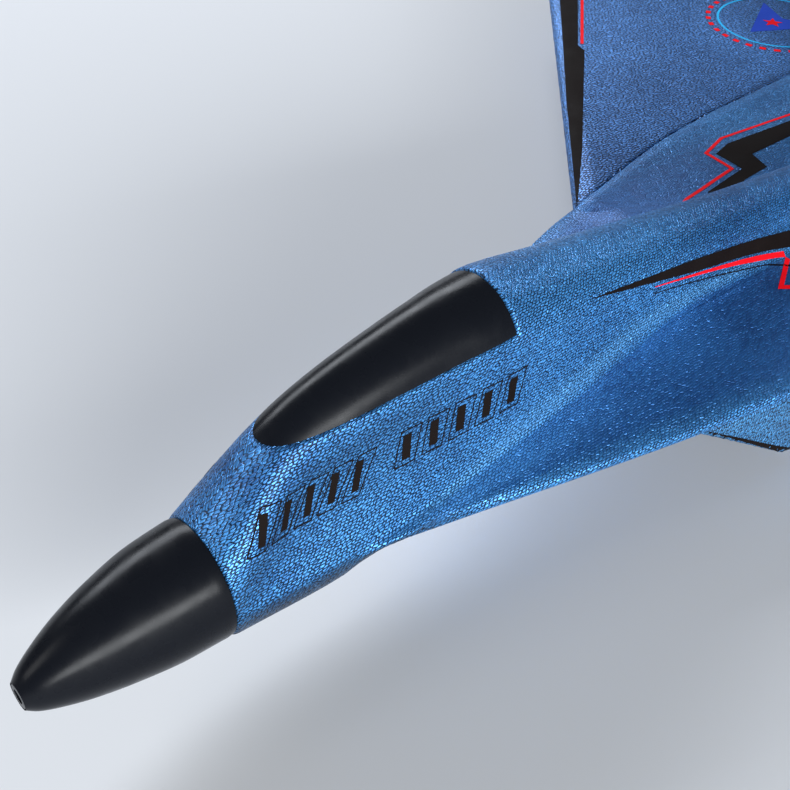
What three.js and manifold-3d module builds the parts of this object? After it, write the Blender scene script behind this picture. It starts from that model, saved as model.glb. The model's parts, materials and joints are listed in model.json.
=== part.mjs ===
// Foam radio-control jet with two pusher propellers. Millimetres.
// +X is the left (port) side, +Y runs aft towards the tail, +Z is up.
// Stations are measured aft from the joint between the nose cone and the foam.
// At the end everything moves so that the origin is the middle of the underside.
import * as THREE from "three";
import Module from "manifold-3d";

const wasm = await Module();
wasm.setup();
const { Manifold, Mesh } = wasm;

// Clearances between pieces that are glued, seated or sliding.
const glueGap = 0.3;
const slipGap = 0.2;
const runningGap = 0.06;

// Nose cone
const noseLength = 36;
const noseDroop = 2.8;
const noseHalfWidth = 11.4;
const noseHalfHeight = 12.2;
const noseTipRadius = 2.4;
const noseHoleRadius = 1.4;
const noseWall = 1.4;
const nosePlugDepth = 6;
const nosePlugWall = 1.6;
const nosePlugInset = 2.2;

// Canopy and the bay under it
const canopyFront = 12;
const canopyRear = 64.8;
const sillHeightFront = 24.1;
const sillHeightRear = 27.1;
const canopyWall = 1.3;
const deckLip = 0.45;
const magnetHeight = 29.6;
const bayHalfWidth = 6;
const bayFront = 28;
const bayRear = 62;
const bayTunnelRear = 90;
const bayFloor = -8;
const bayTunnelRoof = 5;

// Wing and tail
const bodyRear = 262;
const wingKink = 134.4;
const wingTipX = 150;
const wingTipFront = 236;
const wingTipRear = 288;
const wingRootRear = 280;
const wingThickness = 5;
const wingMid = -1.9;
const wingStep = 0.9;
const sparRadius = 1.25;
const sparStation = 200;
const sparHeight = -1.4;
const sparReach = 88;
const finThickness = 3.6;
const finCentre = 46.8;
const finRootFront = 238;
const finRootRear = 300;
const finTipFront = 282;
const finTipRear = 306;
const finHeight = 48;
const railInner = 44.2;
const railOuter = 49;
const railTop = 1.5;
const railRear = 326;
const tailRootFront = 284;
const tailTipFront = 314;
const tailTipX = 96;
const tailThickness = 3.8;
const tailMid = -2;
const hingeStation = 327;
const elevatorRear = 340;
const elevatorInner = 53;
const elevatorOuter = 93;
const stingHalfWidth = 4;
const stingRear = 318;

// Engine pods and drive
const podX = 24.5;
const podZ = -2;
const mountRadius = 6;
const mountFront = 244;
const mountRear = 279;
const motorRadius = 4;
const motorLength = 20;
const motorCapLength = 1.6;
const shaftRadius = 0.5;
const nozzleLength = 9;
const nozzleFrontRadius = 9.6;
const nozzleRearRadius = 7.9;
const propRadius = 18.5;
const propStation = 287;
const propHubRadius = 2.4;
const propHubLength = 6;
const propPitchRoot = 48;
const propPitchTip = 20;
const propBladeThickness = 1.1;

// Nacelles on the belly
const bellyBottom = -24;
const bellyTop = -4.7;
const nacelleTop = -2.4;
const nacelleInner = 10;
const nacelleLipTop = 97;
const nacelleRake = 1.5;
const intakeWall = 2.6;
const intakeDepth = 17;

// Electrics
const batterySize = [11, 31, 8];
const boardSize = [11.2, 21, 1.2];
const switchSize = [3.6, 8.5, 3.4];
const switchStation = 76;
const sliderSize = [1.5, 2, 2.2];
const sliderTravel = 2;
const leadRadius = 0.6;
const magnetRadius = 2.4;
const magnetThickness = 1.5;

// Smooth curve through [station, value] pairs, without overshoot.
function along(pairs) {
  const n = pairs.length;
  const step = [];
  const slope = [];
  for (let i = 0; i < n - 1; i++) {
    step.push(pairs[i + 1][0] - pairs[i][0]);
    slope.push((pairs[i + 1][1] - pairs[i][1]) / step[i]);
  }
  const tangent = [slope[0]];
  for (let i = 1; i < n - 1; i++) {
    const opposed = slope[i - 1] * slope[i] <= 0;
    tangent.push(opposed ? 0 : 2 / (1 / slope[i - 1] + 1 / slope[i]));
  }
  tangent.push(slope[n - 2]);
  return (y) => {
    if (y <= pairs[0][0]) return pairs[0][1];
    if (y >= pairs[n - 1][0]) return pairs[n - 1][1];
    let i = 0;
    while (y > pairs[i + 1][0]) i++;
    const t = (y - pairs[i][0]) / step[i];
    const a = pairs[i][1];
    const b = pairs[i + 1][1];
    const s = t * t * (3 - 2 * t);
    const ease = t * (1 - t) * step[i];
    return a + (b - a) * s + ease * ((1 - t) * tangent[i] - t * tangent[i + 1]);
  };
}

const mix = (a, b, t) => a + (b - a) * t;

function blend(y, from, to) {
  const t = Math.min(1, Math.max(0, (y - from) / (to - from)));
  return t * t * (3 - 2 * t);
}

// Closed solid from points and triangles, turned to face outwards.
function solid(points, triangles) {
  let volume = 0;
  for (const [i, j, k] of triangles) {
    const [a, b, c] = [points[i], points[j], points[k]];
    volume += a[0] * (b[1] * c[2] - b[2] * c[1]);
    volume += a[1] * (b[2] * c[0] - b[0] * c[2]);
    volume += a[2] * (b[0] * c[1] - b[1] * c[0]);
  }
  const facing = volume < 0 ? triangles.map(([i, j, k]) => [i, k, j]) : triangles;
  const mesh = new Mesh({
    numProp: 3,
    vertProperties: new Float32Array(points.flat()),
    triVerts: new Uint32Array(facing.flat()),
  });
  mesh.merge();
  return new Manifold(mesh);
}

// Skin over a row of closed rings that all hold the same number of points.
function loft(rings) {
  const count = rings[0].length;
  const triangles = [];
  for (let r = 0; r < rings.length - 1; r++) {
    for (let i = 0; i < count; i++) {
      const j = (i + 1) % count;
      const a = r * count + i;
      const b = r * count + j;
      triangles.push([a, b, a + count], [b, b + count, a + count]);
    }
  }
  const ends = [
    [rings[0], 0],
    [rings[rings.length - 1], (rings.length - 1) * count],
  ];
  ends.forEach(([ring, base], end) => {
    const flat = flatten(ring);
    for (const [i, j, k] of THREE.ShapeUtils.triangulateShape(flat, [])) {
      triangles.push(end ? [base + i, base + j, base + k] : [base + i, base + k, base + j]);
    }
  });
  return orientLoft(rings, triangles, count);
}

// A ring laid out in its own plane, so that its end cap can be filled.
function flatten(ring) {
  const spread = [0, 1, 2].map((k) => {
    const values = ring.map((p) => p[k]);
    return Math.max(...values) - Math.min(...values);
  });
  const thin = spread.indexOf(Math.min(...spread));
  const [u, v] = [0, 1, 2].filter((k) => k !== thin);
  return ring.map((p) => new THREE.Vector2(p[u], p[v]));
}

// The caps must wind against the skin they close, so each is tried both ways.
function orientLoft(rings, triangles, count) {
  const skin = (rings.length - 1) * count * 2;
  const edges = new Set();
  for (let t = 0; t < skin; t++) {
    const [i, j, k] = triangles[t];
    edges.add(i + "," + j).add(j + "," + k).add(k + "," + i);
  }
  const caps = triangles.slice(skin);
  const clashes = (low, high) =>
    caps.some(([i, j, k]) =>
      i >= low && i < high && [[i, j], [j, k], [k, i]].some(([a, b]) => edges.has(a + "," + b)),
    );
  const last = (rings.length - 1) * count;
  const turnFirst = clashes(0, count);
  const turnLast = clashes(last, last + count);
  const closed = caps.map(([i, j, k]) => {
    const turn = i < count ? turnFirst : turnLast;
    return turn ? [i, k, j] : [i, j, k];
  });
  return solid(rings.flat(), triangles.slice(0, skin).concat(closed));
}

// Box given by its low and high corners.
function box(low, high) {
  const size = high.map((v, k) => v - low[k]);
  return Manifold.cube(size).translate(low);
}

// Prism: outline of [y, z] points, stretched from x0 to x1.
function prism(outline, x0, x1) {
  return loft([x0, x1].map((x) => outline.map(([y, z]) => [x, y, z])));
}

// Solid turned about a line along Y: profile of [radius, y] points from axis to axis.
function turned(profile, segments = 28) {
  const points = profile.map(([r, y]) => new THREE.Vector2(r, y));
  const lathe = new THREE.LatheGeometry(points, segments);
  lathe.deleteAttribute("normal");
  lathe.deleteAttribute("uv");
  const at = lathe.attributes.position;
  const vertices = [];
  for (let i = 0; i < at.count; i++) vertices.push([at.getX(i), at.getY(i), at.getZ(i)]);
  const rows = profile.length;
  const triangles = [];
  for (let s = 0; s < segments; s++) {
    for (let r = 0; r < rows - 1; r++) {
      const a = s * rows + r;
      const b = ((s + 1) % segments) * rows + r;
      if (profile[r][0] > 0) triangles.push([a, a + 1, b]);
      if (profile[r + 1][0] > 0) triangles.push([b, a + 1, b + 1]);
    }
  }
  const axisRows = new Map();
  profile.forEach(([r], row) => {
    if (r === 0) axisRows.set(row, row);
  });
  const onAxis = (i) => (axisRows.has(i % rows) ? i % rows : i);
  const kept = vertices.slice(0, segments * rows);
  return solid(kept, triangles.map((t) => t.map(onAxis)));
}

function rod(radius, y0, y1, segments = 20) {
  return turned([[0, y0], [radius, y0], [radius, y1], [0, y1]], segments);
}

// Round wire through a row of points.
function wire(points, radius, sides = 8) {
  const rings = points.map((p, i) => {
    const before = new THREE.Vector3(...points[Math.max(i - 1, 0)]);
    const after = new THREE.Vector3(...points[Math.min(i + 1, points.length - 1)]);
    const ahead = after.sub(before).normalize();
    const across = new THREE.Vector3(0, 0, 1).cross(ahead).normalize();
    const up = ahead.clone().cross(across);
    return Array.from({ length: sides }, (_, k) => {
      const angle = (2 * Math.PI * k) / sides;
      const c = Math.cos(angle) * radius;
      const s = Math.sin(angle) * radius;
      return p.map((v, axis) => v + across.getComponent(axis) * c + up.getComponent(axis) * s);
    });
  });
  return loft(rings);
}

const mirror = (piece) => piece.mirror([1, 0, 0]);

// Foam body: lines that run along it.
const domeTop = along([
  [0, 12.2], [6, 17.4], [14.5, 24.8], [22, 28.7], [28, 30.4], [34, 31.7], [42, 33],
  [50, 34], [58, 34.6], [64.8, 34.5], [80, 32.2], [100, 28.6], [120, 24.8], [140, 21.2],
  [165, 17.6], [200, 12.8], [235, 9.2], [262, 7.4],
]);
const domeCentre = along([
  [0, 0], [8, 7], [18, 16], [30, 18], [38.8, 19.5], [51.5, 21], [64.8, 22], [80, 20.6],
  [100, 18.2], [120, 15.6], [140, 12.8], [165, 10], [200, 7], [235, 5], [262, 4],
]);
const domeHalfWidth = along([
  [0, 11.4], [6, 10.4], [18, 7.7], [30, 8.6], [38.8, 9.1], [51.5, 10], [64.8, 11.2], [80, 10.6],
  [100, 9.6], [120, 8.6], [140, 7.8], [165, 7], [200, 6], [235, 5.2], [262, 4.6],
]);
const ridgeX = along([
  [0, 11.4], [24, 13.6], [47, 14], [70, 13.2], [82, 12.8], [94, 12.2], [117, 10.2],
  [140, 10], [165, 9.6], [200, 8.6], [235, 7.4], [262, 6.8],
]);
const ridgeZ = along([
  [0, -1], [24, 0], [47, 2.4], [70, 4.6], [82, 6.2], [94, 8], [117, 9.4], [130, 8.4],
  [145, 6.8], [165, 5.6], [200, 4.8], [262, 4.2],
]);
const edgeX = along([
  [20, 12.8], [27, 13.2], [41.5, 16.5], [54, 19.8], [66, 23.1], [79, 26.6], [95.5, 30.8],
  [107.6, 33.5], [119.6, 36.3], [128, 38.2], [134.4, 39.2], [139, 39.3], [145, 40.1],
  [152, 41.6], [160, 43.2], [170, 45], [180, 46], [192, 46.6], [218, 46.3], [230, 46.1],
  [240, 46.8], [256, 49], [262, 49],
]);
const bellyLine = along([
  [0, -12.2], [20, -12.4], [90, -12.2], [104, -11.4], [122, -5.4], [130, -4.4], [262, -4.4],
]);
const bellyHalfWidth = along([[0, 8.2], [30, 8.8], [90, 8.6], [120, 8], [262, 8]]);

// Half of the body's cross-section, from the top of the spine round to the keel.
function halfSection(y) {
  const lip = y > canopyRear ? deckLip * (1 - blend(y, canopyRear + 2, 92)) : 0;
  const a = domeHalfWidth(y);
  const zc = domeCentre(y);
  const b = domeTop(y) - zc;
  const dome = [0, 18, 36, 54, 72, 90].map((degrees) => {
    const turn = (degrees * Math.PI) / 180;
    const raise = lip * Math.sqrt(Math.cos(turn) + 1e-9);
    return [(a + raise) * Math.sin(turn), zc + (b + raise) * Math.cos(turn)];
  });
  const ridge = [ridgeX(y), ridgeZ(y)];
  const side = [mix(a, ridge[0], 0.36), mix(zc, ridge[1], 0.5)];
  const root = blend(y, 22, 36);
  const rear = blend(y, wingKink - 3, wingKink + 4.6);
  const keel = bellyLine(y);
  const round = (degrees) => {
    const turn = (degrees * Math.PI) / 180;
    return [ridge[0] * Math.cos(turn), ridge[1] + (keel - ridge[1]) * Math.sin(turn)];
  };
  const edge = edgeX(y);
  const topHalf = mix(1.7, wingStep + wingThickness / 2, rear);
  const lowHalf = mix(1.7, wingThickness / 2, rear);
  const setIn = mix(1.5, 0.05, rear);
  const top = wingMid + topHalf;
  const low = wingMid - lowHalf;
  const flatten = blend(y, 96, 185);
  const footRise = mix(0.34, 0.7, flatten);
  const foot = [ridge[0] + mix(2.4, 3.6, flatten), mix(top, ridge[1], footRise)];
  const hump = 4.4 * blend(y, 205, 258);
  const innerX = mix(mix(foot[0], edge, 0.36), podX, flatten);
  const outerX = mix(mix(foot[0], edge, 0.7), podX + 12.5, flatten);
  const inner = [innerX, top + mix(-0.5, 2.3, flatten) + hump];
  const outer = [outerX, top + mix(-0.15, 1.2, flatten) + hump * 0.2];
  const chine = [bellyHalfWidth(y), mix(keel, wingMid, 0.26 * (1 - rear))];
  const strake = [
    foot, inner, outer, [edge - setIn, top], [edge, wingMid + (top - wingMid) * 0.35],
    [edge, mix(wingMid, low, 0.35)], [edge - setIn, low],
    [mix(chine[0], edge, 0.5), mix(low, chine[1], 0.12 * (1 - rear))],
    chine, [chine[0] * 0.62, keel + 0.35 * (1 - rear)],
  ];
  const plain = [6, 14, 22, 30, 36, 42, 48, 56, 66, 78].map(round);
  const crest = (from, share) => from.map((v, k) => mix(ridge[k], v, share));
  const lower = strake.map((p, i) => [mix(plain[i][0], p[0], root), mix(plain[i][1], p[1], root)]);
  return [...dome, side, crest(side, 0.14), ridge, crest(lower[0], 0.3), ...lower, [0, keel]];
}

// Rounds the corners of a row of points, adding steps between each pair.
function soften(points, steps) {
  const curve = new THREE.CatmullRomCurve3(
    points.map(([x, z]) => new THREE.Vector3(x, 0, z)), false, "centripetal",
  );
  const count = (points.length - 1) * steps;
  return Array.from({ length: count + 1 }, (_, i) => {
    const p = curve.getPoint(i / count);
    return [p.x, p.z];
  });
}

// Whole ring of the body at one station: the port half, then the same half mirrored.
function bodyRing(y, half = halfSection(y), steps = 1) {
  const right = steps > 1 ? soften(half, steps) : half;
  const left = right.slice(1, -1).reverse().map(([x, z]) => [-x, z]);
  return [...right, ...left].map(([x, z]) => [x, y, z]);
}

const bodyStations = [
  0, 3, 6, 10, 14.5, 19, 23, 27, 31, 36, 42, 50, 58, 64.7, 65, 68, 73, 80, 88, 96, 104, 112,
  120, 127, 131.5, 134.4, 137, 139, 144, 151, 160, 172, 184, 196, 208, 220, 234, 246, 254, bodyRear,
];

// Sill plane between the canopy and the foam.
const sillAt = (y) =>
  mix(sillHeightFront, sillHeightRear, (y - canopyFront) / (canopyRear - canopyFront));
function aboveSill(front, rear, raise) {
  return prism([
    [front, sillAt(front) + raise], [rear, sillAt(rear) + raise], [rear, 60], [front, 60],
  ], -20, 20);
}

const bodySkin = loft(bodyStations.map((y) => bodyRing(y, halfSection(y), 2)));

function fuselage() {
  let foam = bodySkin;
  const stingRing = (y, halfWidth, low, top) =>
    [[1, 0.25], [1, 0.75], [0.5, 1], [-0.5, 1], [-1, 0.75], [-1, 0.25], [-0.5, 0], [0.5, 0]]
      .map(([u, v]) => [halfWidth * u, y, mix(low, top, v)]);
  const sting = loft([
    stingRing(240, stingHalfWidth, -4.3, 6), stingRing(275, stingHalfWidth, -4.2, 6.6),
    stingRing(300, stingHalfWidth * 0.9, -3.8, 5.4), stingRing(stingRear - 4, 3, -3.2, 3.2),
    stingRing(stingRear, 1.6, -2.4, 1.6),
  ]);
  foam = foam.add(sting);
  const bay = box([-bayHalfWidth, bayFront, bayFloor], [bayHalfWidth, bayRear, 40]);
  const tunnel = box(
    [-bayHalfWidth, bayRear - 1, bayFloor], [bayHalfWidth, bayTunnelRear, bayTunnelRoof],
  );
  const plug = turned([
    [0, -1], [noseHalfWidth - nosePlugInset + slipGap, -1],
    [noseHalfWidth - nosePlugInset + slipGap, nosePlugDepth + glueGap],
    [0, nosePlugDepth + glueGap],
  ]);
  const switchPocket = box(
    [-switchSize[0] / 2 - glueGap, switchStation - switchSize[1] / 2 - glueGap, -20],
    [switchSize[0] / 2 + glueGap, switchStation + switchSize[1] / 2 + glueGap, bayFloor + 1],
  );
  const sparHole = rod(sparRadius + 0.1, -70, 70).rotate([0, 0, 90])
    .translate([0, sparStation, sparHeight]);
  const magnetPocket = rod(magnetRadius + 0.15, canopyRear - 1, canopyRear + 2.6)
    .translate([0, 0, magnetHeight]);
  foam = foam
    .subtract(aboveSill(canopyFront - 2, canopyRear + glueGap, 0))
    .subtract(bay).subtract(tunnel).subtract(plug).subtract(switchPocket)
    .subtract(sparHole).subtract(magnetPocket);
  for (const side of [1, -1]) {
    const bore = rod(mountRadius + glueGap, mountFront - glueGap, bodyRear + 20, 24)
      .translate([side * podX, 0, podZ]);
    foam = foam.subtract(bore).subtract(leadChannel(side));
  }
  return foam;
}


// Lead channel in the underside of the foam, from the bay to each engine pod.
const leadHeight = -3.7;
const leadPath = (side) => [
  [side * 3.2, 84, leadHeight], [side * 6, 128, leadHeight], [side * (podX - 0.6), 240, leadHeight],
];
function leadChannel(side) {
  const path = leadPath(side);
  path.push([side * podX, mountFront + 3, leadHeight]);
  const width = leadRadius + glueGap + 0.1;
  const rings = path.map(([x, y, z]) => [
    [x - width, y, z - 3], [x + width, y, z - 3], [x + width, y, z + width], [x - width, y, z + width],
  ]);
  const open = loft(rings.slice(1));
  const buried = loft([0, 1].map((i) => {
    const [x, y, z] = path[i];
    return [
      [x - width, y + i * 0.5, z - width], [x + width, y + i * 0.5, z - width],
      [x + width, y + i * 0.5, z + width], [x - width, y + i * 0.5, z + width],
    ];
  }));
  return open.add(buried);
}

function noseCone() {
  const rings = [];
  const steps = 16;
  const droop = (t) => -noseDroop * t * t;
  const radius = along([
    [0, 1], [0.25, 0.953], [0.5, 0.82], [0.7, 0.66], [0.85, 0.49], [0.95, 0.34], [1, 0.22],
  ]);
  for (let i = 0; i <= steps; i++) {
    const t = Math.sin((i / steps) * Math.PI * 0.5);
    const r = Math.max(radius(t), noseTipRadius / noseHalfWidth);
    rings.push(coneRing(-glueGap - t * (noseLength - glueGap), r, droop(t), 0));
  }
  const inside = [];
  for (let i = 0; i <= 8; i++) {
    const t = Math.sin((i / 8) * Math.PI * 0.46);
    const r = Math.max(radius(t), noseTipRadius / noseHalfWidth);
    inside.push(coneRing((i ? -glueGap : 1) - t * (noseLength - 4), r, droop(t), noseWall));
  }
  const plugRadius = noseHalfWidth - nosePlugInset;
  const collar = turned([
    [plugRadius - nosePlugWall, -glueGap - 2], [plugRadius, -glueGap - 2],
    [plugRadius, nosePlugDepth], [plugRadius - nosePlugWall, nosePlugDepth],
    [plugRadius - nosePlugWall, -glueGap - 2],
  ]);
  const flange = turned([
    [plugRadius - nosePlugWall, -glueGap - 2], [noseHalfWidth - 0.8, -glueGap - 2],
    [noseHalfWidth - 0.8, -glueGap - 0.4], [plugRadius - nosePlugWall, -glueGap - 0.4],
    [plugRadius - nosePlugWall, -glueGap - 2],
  ]);
  const hole = rod(noseHoleRadius, -60, -10, 14).translate([0, 0, -noseDroop * 0.94]);
  return loft(rings).subtract(loft(inside)).add(flange).add(collar).subtract(hole);
}

function coneRing(y, scale, drop, wall) {
  const count = 28;
  return Array.from({ length: count }, (_, k) => {
    const turn = (2 * Math.PI * k) / count;
    const a = Math.max(noseHalfWidth * scale - wall, 0.8);
    const b = Math.max(noseHalfHeight * scale - wall, 0.8);
    return [a * Math.sin(turn), y, drop + b * Math.cos(turn)];
  });
}

function canopy() {
  const stations = [12, 13, 14.5, 17, 20, 24, 30, 37, 44, 52, 59, 64.8];
  const ring = (y, inset) => {
    const zc = domeCentre(y);
    const a = domeHalfWidth(y) - inset;
    const b = domeTop(y) - zc - inset;
    const dome = [0, 18, 36, 54, 72, 90].map((degrees) => {
      const turn = (degrees * Math.PI) / 180;
      return [a * Math.sin(turn), zc + b * Math.cos(turn)];
    });
    return bodyRing(y, [...dome, [a, zc - 6], [0, zc - 8]], 2);
  };
  const outer = loft(stations.map((y) => ring(y, 0)));
  const hollow = loft(stations.slice(4, -1).map((y) => ring(y, canopyWall)).concat([
    ring(canopyRear - canopyWall, canopyWall),
  ]));
  return outer.subtract(hollow).intersect(aboveSill(canopyFront - 2, canopyRear, glueGap));
}

// Outer wing panel; the root follows the edge of the body, one glue line outside it.
function wing() {
  const chordSteps = 22;
  const spanSteps = 6;
  const rootY = (u) => mix(wingKink + 0.6, wingRootRear, u);
  const rootX = (u) => edgeX(Math.min(rootY(u), bodyRear)) + glueGap;
  const tipY = (u) => mix(wingTipFront, wingTipRear, u);
  const fullness = (u) => {
    const nose = 0.07;
    const front = u < nose ? Math.sqrt(1 - (1 - u / nose) ** 2) : 1;
    return front * (1 - 0.62 * blend(u, 0.45, 1));
  };
  const spread = (i) => {
    const t = i / chordSteps;
    return t < 0.25 ? 0.07 * (t / 0.25) ** 2 : 0.07 + (0.93 * (t - 0.25)) / 0.75;
  };
  const points = [];
  const index = new Map();
  const at = (i, j, top) => {
    const key = i === 0 ? "0," + j : i + "," + j + "," + top;
    if (index.has(key)) return index.get(key);
    const u = spread(i);
    const v = j / spanSteps;
    const half = (mix(wingThickness, wingThickness * 0.62, v) / 2) * fullness(u);
    const x = mix(rootX(u), wingTipX, v);
    const y = mix(rootY(u), tipY(u), v);
    points.push([x, y, wingMid + (top ? half : -half)]);
    index.set(key, points.length - 1);
    return points.length - 1;
  };
  const triangles = [];
  const quad = (a, b, c, d) => {
    if (new Set([a, b, c]).size === 3) triangles.push([a, b, c]);
    if (new Set([a, c, d]).size === 3) triangles.push([a, c, d]);
  };
  for (let i = 0; i < chordSteps; i++) {
    for (let j = 0; j < spanSteps; j++) {
      quad(at(i, j, 1), at(i, j + 1, 1), at(i + 1, j + 1, 1), at(i + 1, j, 1));
      quad(at(i, j, 0), at(i + 1, j, 0), at(i + 1, j + 1, 0), at(i, j + 1, 0));
    }
    quad(at(i, 0, 0), at(i, 0, 1), at(i + 1, 0, 1), at(i + 1, 0, 0));
    quad(at(i, spanSteps, 0), at(i + 1, spanSteps, 0), at(i + 1, spanSteps, 1), at(i, spanSteps, 1));
  }
  for (let j = 0; j < spanSteps; j++) {
    const i = chordSteps;
    quad(at(i, j, 1), at(i, j + 1, 1), at(i, j + 1, 0), at(i, j, 0));
  }
  const sparHole = rod(sparRadius + 0.1, 0, sparReach + glueGap).rotate([0, 0, -90])
    .translate([0, sparStation, sparHeight]);
  return solid(points, triangles).subtract(sparHole).subtract(bodySkin.translate([glueGap, 0, 0]));
}

// Flat foam plate with softened edges: outline of [u, v] points, made along one axis.
function plate(outline, place, thickness) {
  const centre = outline.reduce((s, p) => [s[0] + p[0], s[1] + p[1]], [0, 0])
    .map((v) => v / outline.length);
  const soft = 0.6;
  const pulled = outline.map(([u, v]) => {
    const away = Math.hypot(u - centre[0], v - centre[1]);
    const shrink = 1 - soft / away;
    return [mix(centre[0], u, shrink), mix(centre[1], v, shrink)];
  });
  const half = thickness / 2;
  return loft([
    pulled.map(([u, v]) => place(u, v, -half)), outline.map(([u, v]) => place(u, v, -half + soft)),
    outline.map(([u, v]) => place(u, v, half - soft)), pulled.map(([u, v]) => place(u, v, half)),
  ]);
}

function fin() {
  const base = railTop + glueGap;
  const outline = [
    [finRootFront, base], [finTipFront, base + finHeight], [finTipRear - 2, base + finHeight + 0.5],
    [finTipRear, base + finHeight - 3], [finRootRear, base],
  ];
  return plate(outline, (y, z, x) => [finCentre + x, y, z], finThickness)
    .subtract(bodySkin.translate([0, 0, glueGap]));
}

function tailplane() {
  const rail = box([railInner, bodyRear + glueGap, wingMid - wingThickness / 2],
    [railOuter, railRear, railTop]);
  const nose = railOuter - 1.5;
  const outline = [
    [nose, tailRootFront], [tailTipX, tailTipFront], [tailTipX, hingeStation],
    [nose, hingeStation],
  ];
  const panel = plate(outline, (x, y, z) => [x, y, tailMid + z], tailThickness);
  return rail.add(panel);
}

// Trim flap: its front edge is a wedge, so it can swing about the crease.
function elevator() {
  const half = tailThickness / 2;
  const crease = hingeStation + glueGap;
  return prism([
    [crease, tailMid], [crease + 1.7, tailMid + half], [elevatorRear - 1, tailMid + 0.9],
    [elevatorRear, tailMid], [elevatorRear - 1, tailMid - 0.9], [crease + 1.7, tailMid - half],
  ], elevatorInner, elevatorOuter);
}

function motorMount() {
  const bore = motorRadius + slipGap;
  const front = mountFront;
  return turned([
    [2, front], [mountRadius, front], [mountRadius, mountRear - 4], [mountRadius - 1, mountRear],
    [bore, mountRear], [bore, mountRear - motorLength - slipGap],
    [2, mountRear - motorLength - slipGap], [2, front],
  ], 24).translate([podX, 0, podZ]);
}

function nozzle() {
  const front = bodyRear + glueGap;
  const bore = mountRadius + slipGap;
  return turned([
    [bore, front], [nozzleFrontRadius, front], [nozzleFrontRadius, front + 1.5],
    [nozzleRearRadius, front + nozzleLength], [bore + 0.6, front + nozzleLength],
    [bore, front + nozzleLength - 2], [bore, front],
  ], 24).translate([podX, 0, podZ]);
}

function motor() {
  const rear = mountRear;
  const hole = shaftRadius + runningGap;
  const front = rear - motorLength;
  return turned([
    [0, front], [motorRadius, front], [motorRadius, rear - motorCapLength],
    [motorRadius - 0.5, rear - motorCapLength], [motorRadius - 0.5, rear],
    [1.2, rear], [1.2, rear + 1.2], [hole, rear + 1.2], [hole, rear - 3], [0, rear - 3],
  ], 24).translate([podX, 0, podZ]);
}

function motorShaft() {
  return rod(shaftRadius, mountRear - 2.6, propStation + 4, 12).translate([podX, 0, podZ]);
}

function propeller() {
  const holder = turned([
    [shaftRadius + 0.02, propStation - propHubLength / 2],
    [propHubRadius, propStation - propHubLength / 2],
    [propHubRadius, propStation + propHubLength / 2 - 1.5],
    [propHubRadius - 1.1, propStation + propHubLength / 2 + 1.4],
    [shaftRadius + 0.02, propStation + propHubLength / 2 + 1.4],
    [shaftRadius + 0.02, propStation - propHubLength / 2],
  ], 18);
  const stations = [0.06, 0.16, 0.3, 0.48, 0.66, 0.82, 0.93, 1];
  const chord = along([[0, 3], [0.16, 4], [0.45, 7.4], [0.75, 6.6], [0.93, 4.4], [1, 2]]);
  const blade = loft(stations.map((s) => {
    const pitch = (mix(propPitchRoot, propPitchTip, s) * Math.PI) / 180;
    const half = chord(s) / 2;
    const thick = mix(propBladeThickness * 1.2, propBladeThickness * 0.7, s) / 2;
    const outline = [[-1, 0], [-0.5, 0.9], [0.2, 1], [0.75, 0.7], [1, 0], [0.5, -0.6], [-0.4, -0.7]];
    return outline.map(([c, t]) => {
      const chordwise = c * half;
      const across = t * thick;
      return [
        s * propRadius,
        propStation + chordwise * Math.sin(pitch) + across * Math.cos(pitch),
        chordwise * Math.cos(pitch) - across * Math.sin(pitch),
      ];
    });
  }));
  const bore = rod(shaftRadius + 0.02, propStation - 10, propStation + 10, 18);
  return holder.add(blade).add(blade.rotate([0, 180, 0])).subtract(bore)
    .translate([podX, 0, podZ]);
}

// One nacelle: a foam block with a raked intake, drawn up to the pod at the back.
function nacelleShell(inset, depth) {
  const outerX = along([
    [90, 28.4], [97, 30], [111, 33], [126, 36.6], [150, 38], [200, 38], [235, 36], [262, 33.6],
  ]);
  const innerX = along([[96, nacelleInner], [200, nacelleInner + 1], [262, 15.4]]);
  const bottom = along([
    [96, bellyBottom], [205, bellyBottom], [235, -19], [262, -11.8],
  ]);
  const corner = 4;
  const ringAt = (y, shear) => {
    const z0 = bottom(y) + inset;
    const z1 = nacelleTop - (inset ? inset + 1.2 : 0);
    const c = Math.min(corner, (z1 - z0) * 0.4);
    const shape = [
      [0, 0, z1], [1, 0, z1], [1, 0, mix(z0, z1, 0.66)], [1, 0, z0 + c], [1, -c * 0.3, z0 + c * 0.3],
      [1, -c, z0], [0, c, z0], [0, c * 0.3, z0 + c * 0.3], [0, 0, z0 + c], [0, 0, mix(z0, z1, 0.66)],
    ];
    return shape.map(([outer, offset, z]) => {
      const station = y + shear * (nacelleTop - z) * nacelleRake;
      const wall = outer ? outerX(station) - inset : innerX(station) + inset;
      return [wall + offset, station, z];
    });
  };
  if (depth) return loft([-3, depth].map((d) => ringAt(nacelleLipTop + d, 1)));
  const steps = [0, 0.08, 0.18, 0.3, 0.42, 0.54, 0.66, 0.78, 0.88, 1];
  return loft(steps.map((t) => ringAt(mix(nacelleLipTop, bodyRear, t), 1 - t)));
}

function bellyPan() {
  const nacelle = nacelleShell(0, 0).subtract(nacelleShell(intakeWall, intakeDepth));
  const bridge = box([-14, 132, -8.5], [14, 252, bellyTop]);
  let pan = nacelle.add(mirror(nacelle)).add(bridge);
  for (const side of [1, -1]) {
    const bore = rod(mountRadius + glueGap, mountFront - glueGap, bodyRear + 20, 24)
      .translate([side * podX, 0, podZ]);
    pan = pan.subtract(bore).subtract(bodySkin.translate([side * glueGap, 0, 0]));
  }
  return pan.subtract(bodySkin.translate([0, 0, -glueGap]));
}

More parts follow.
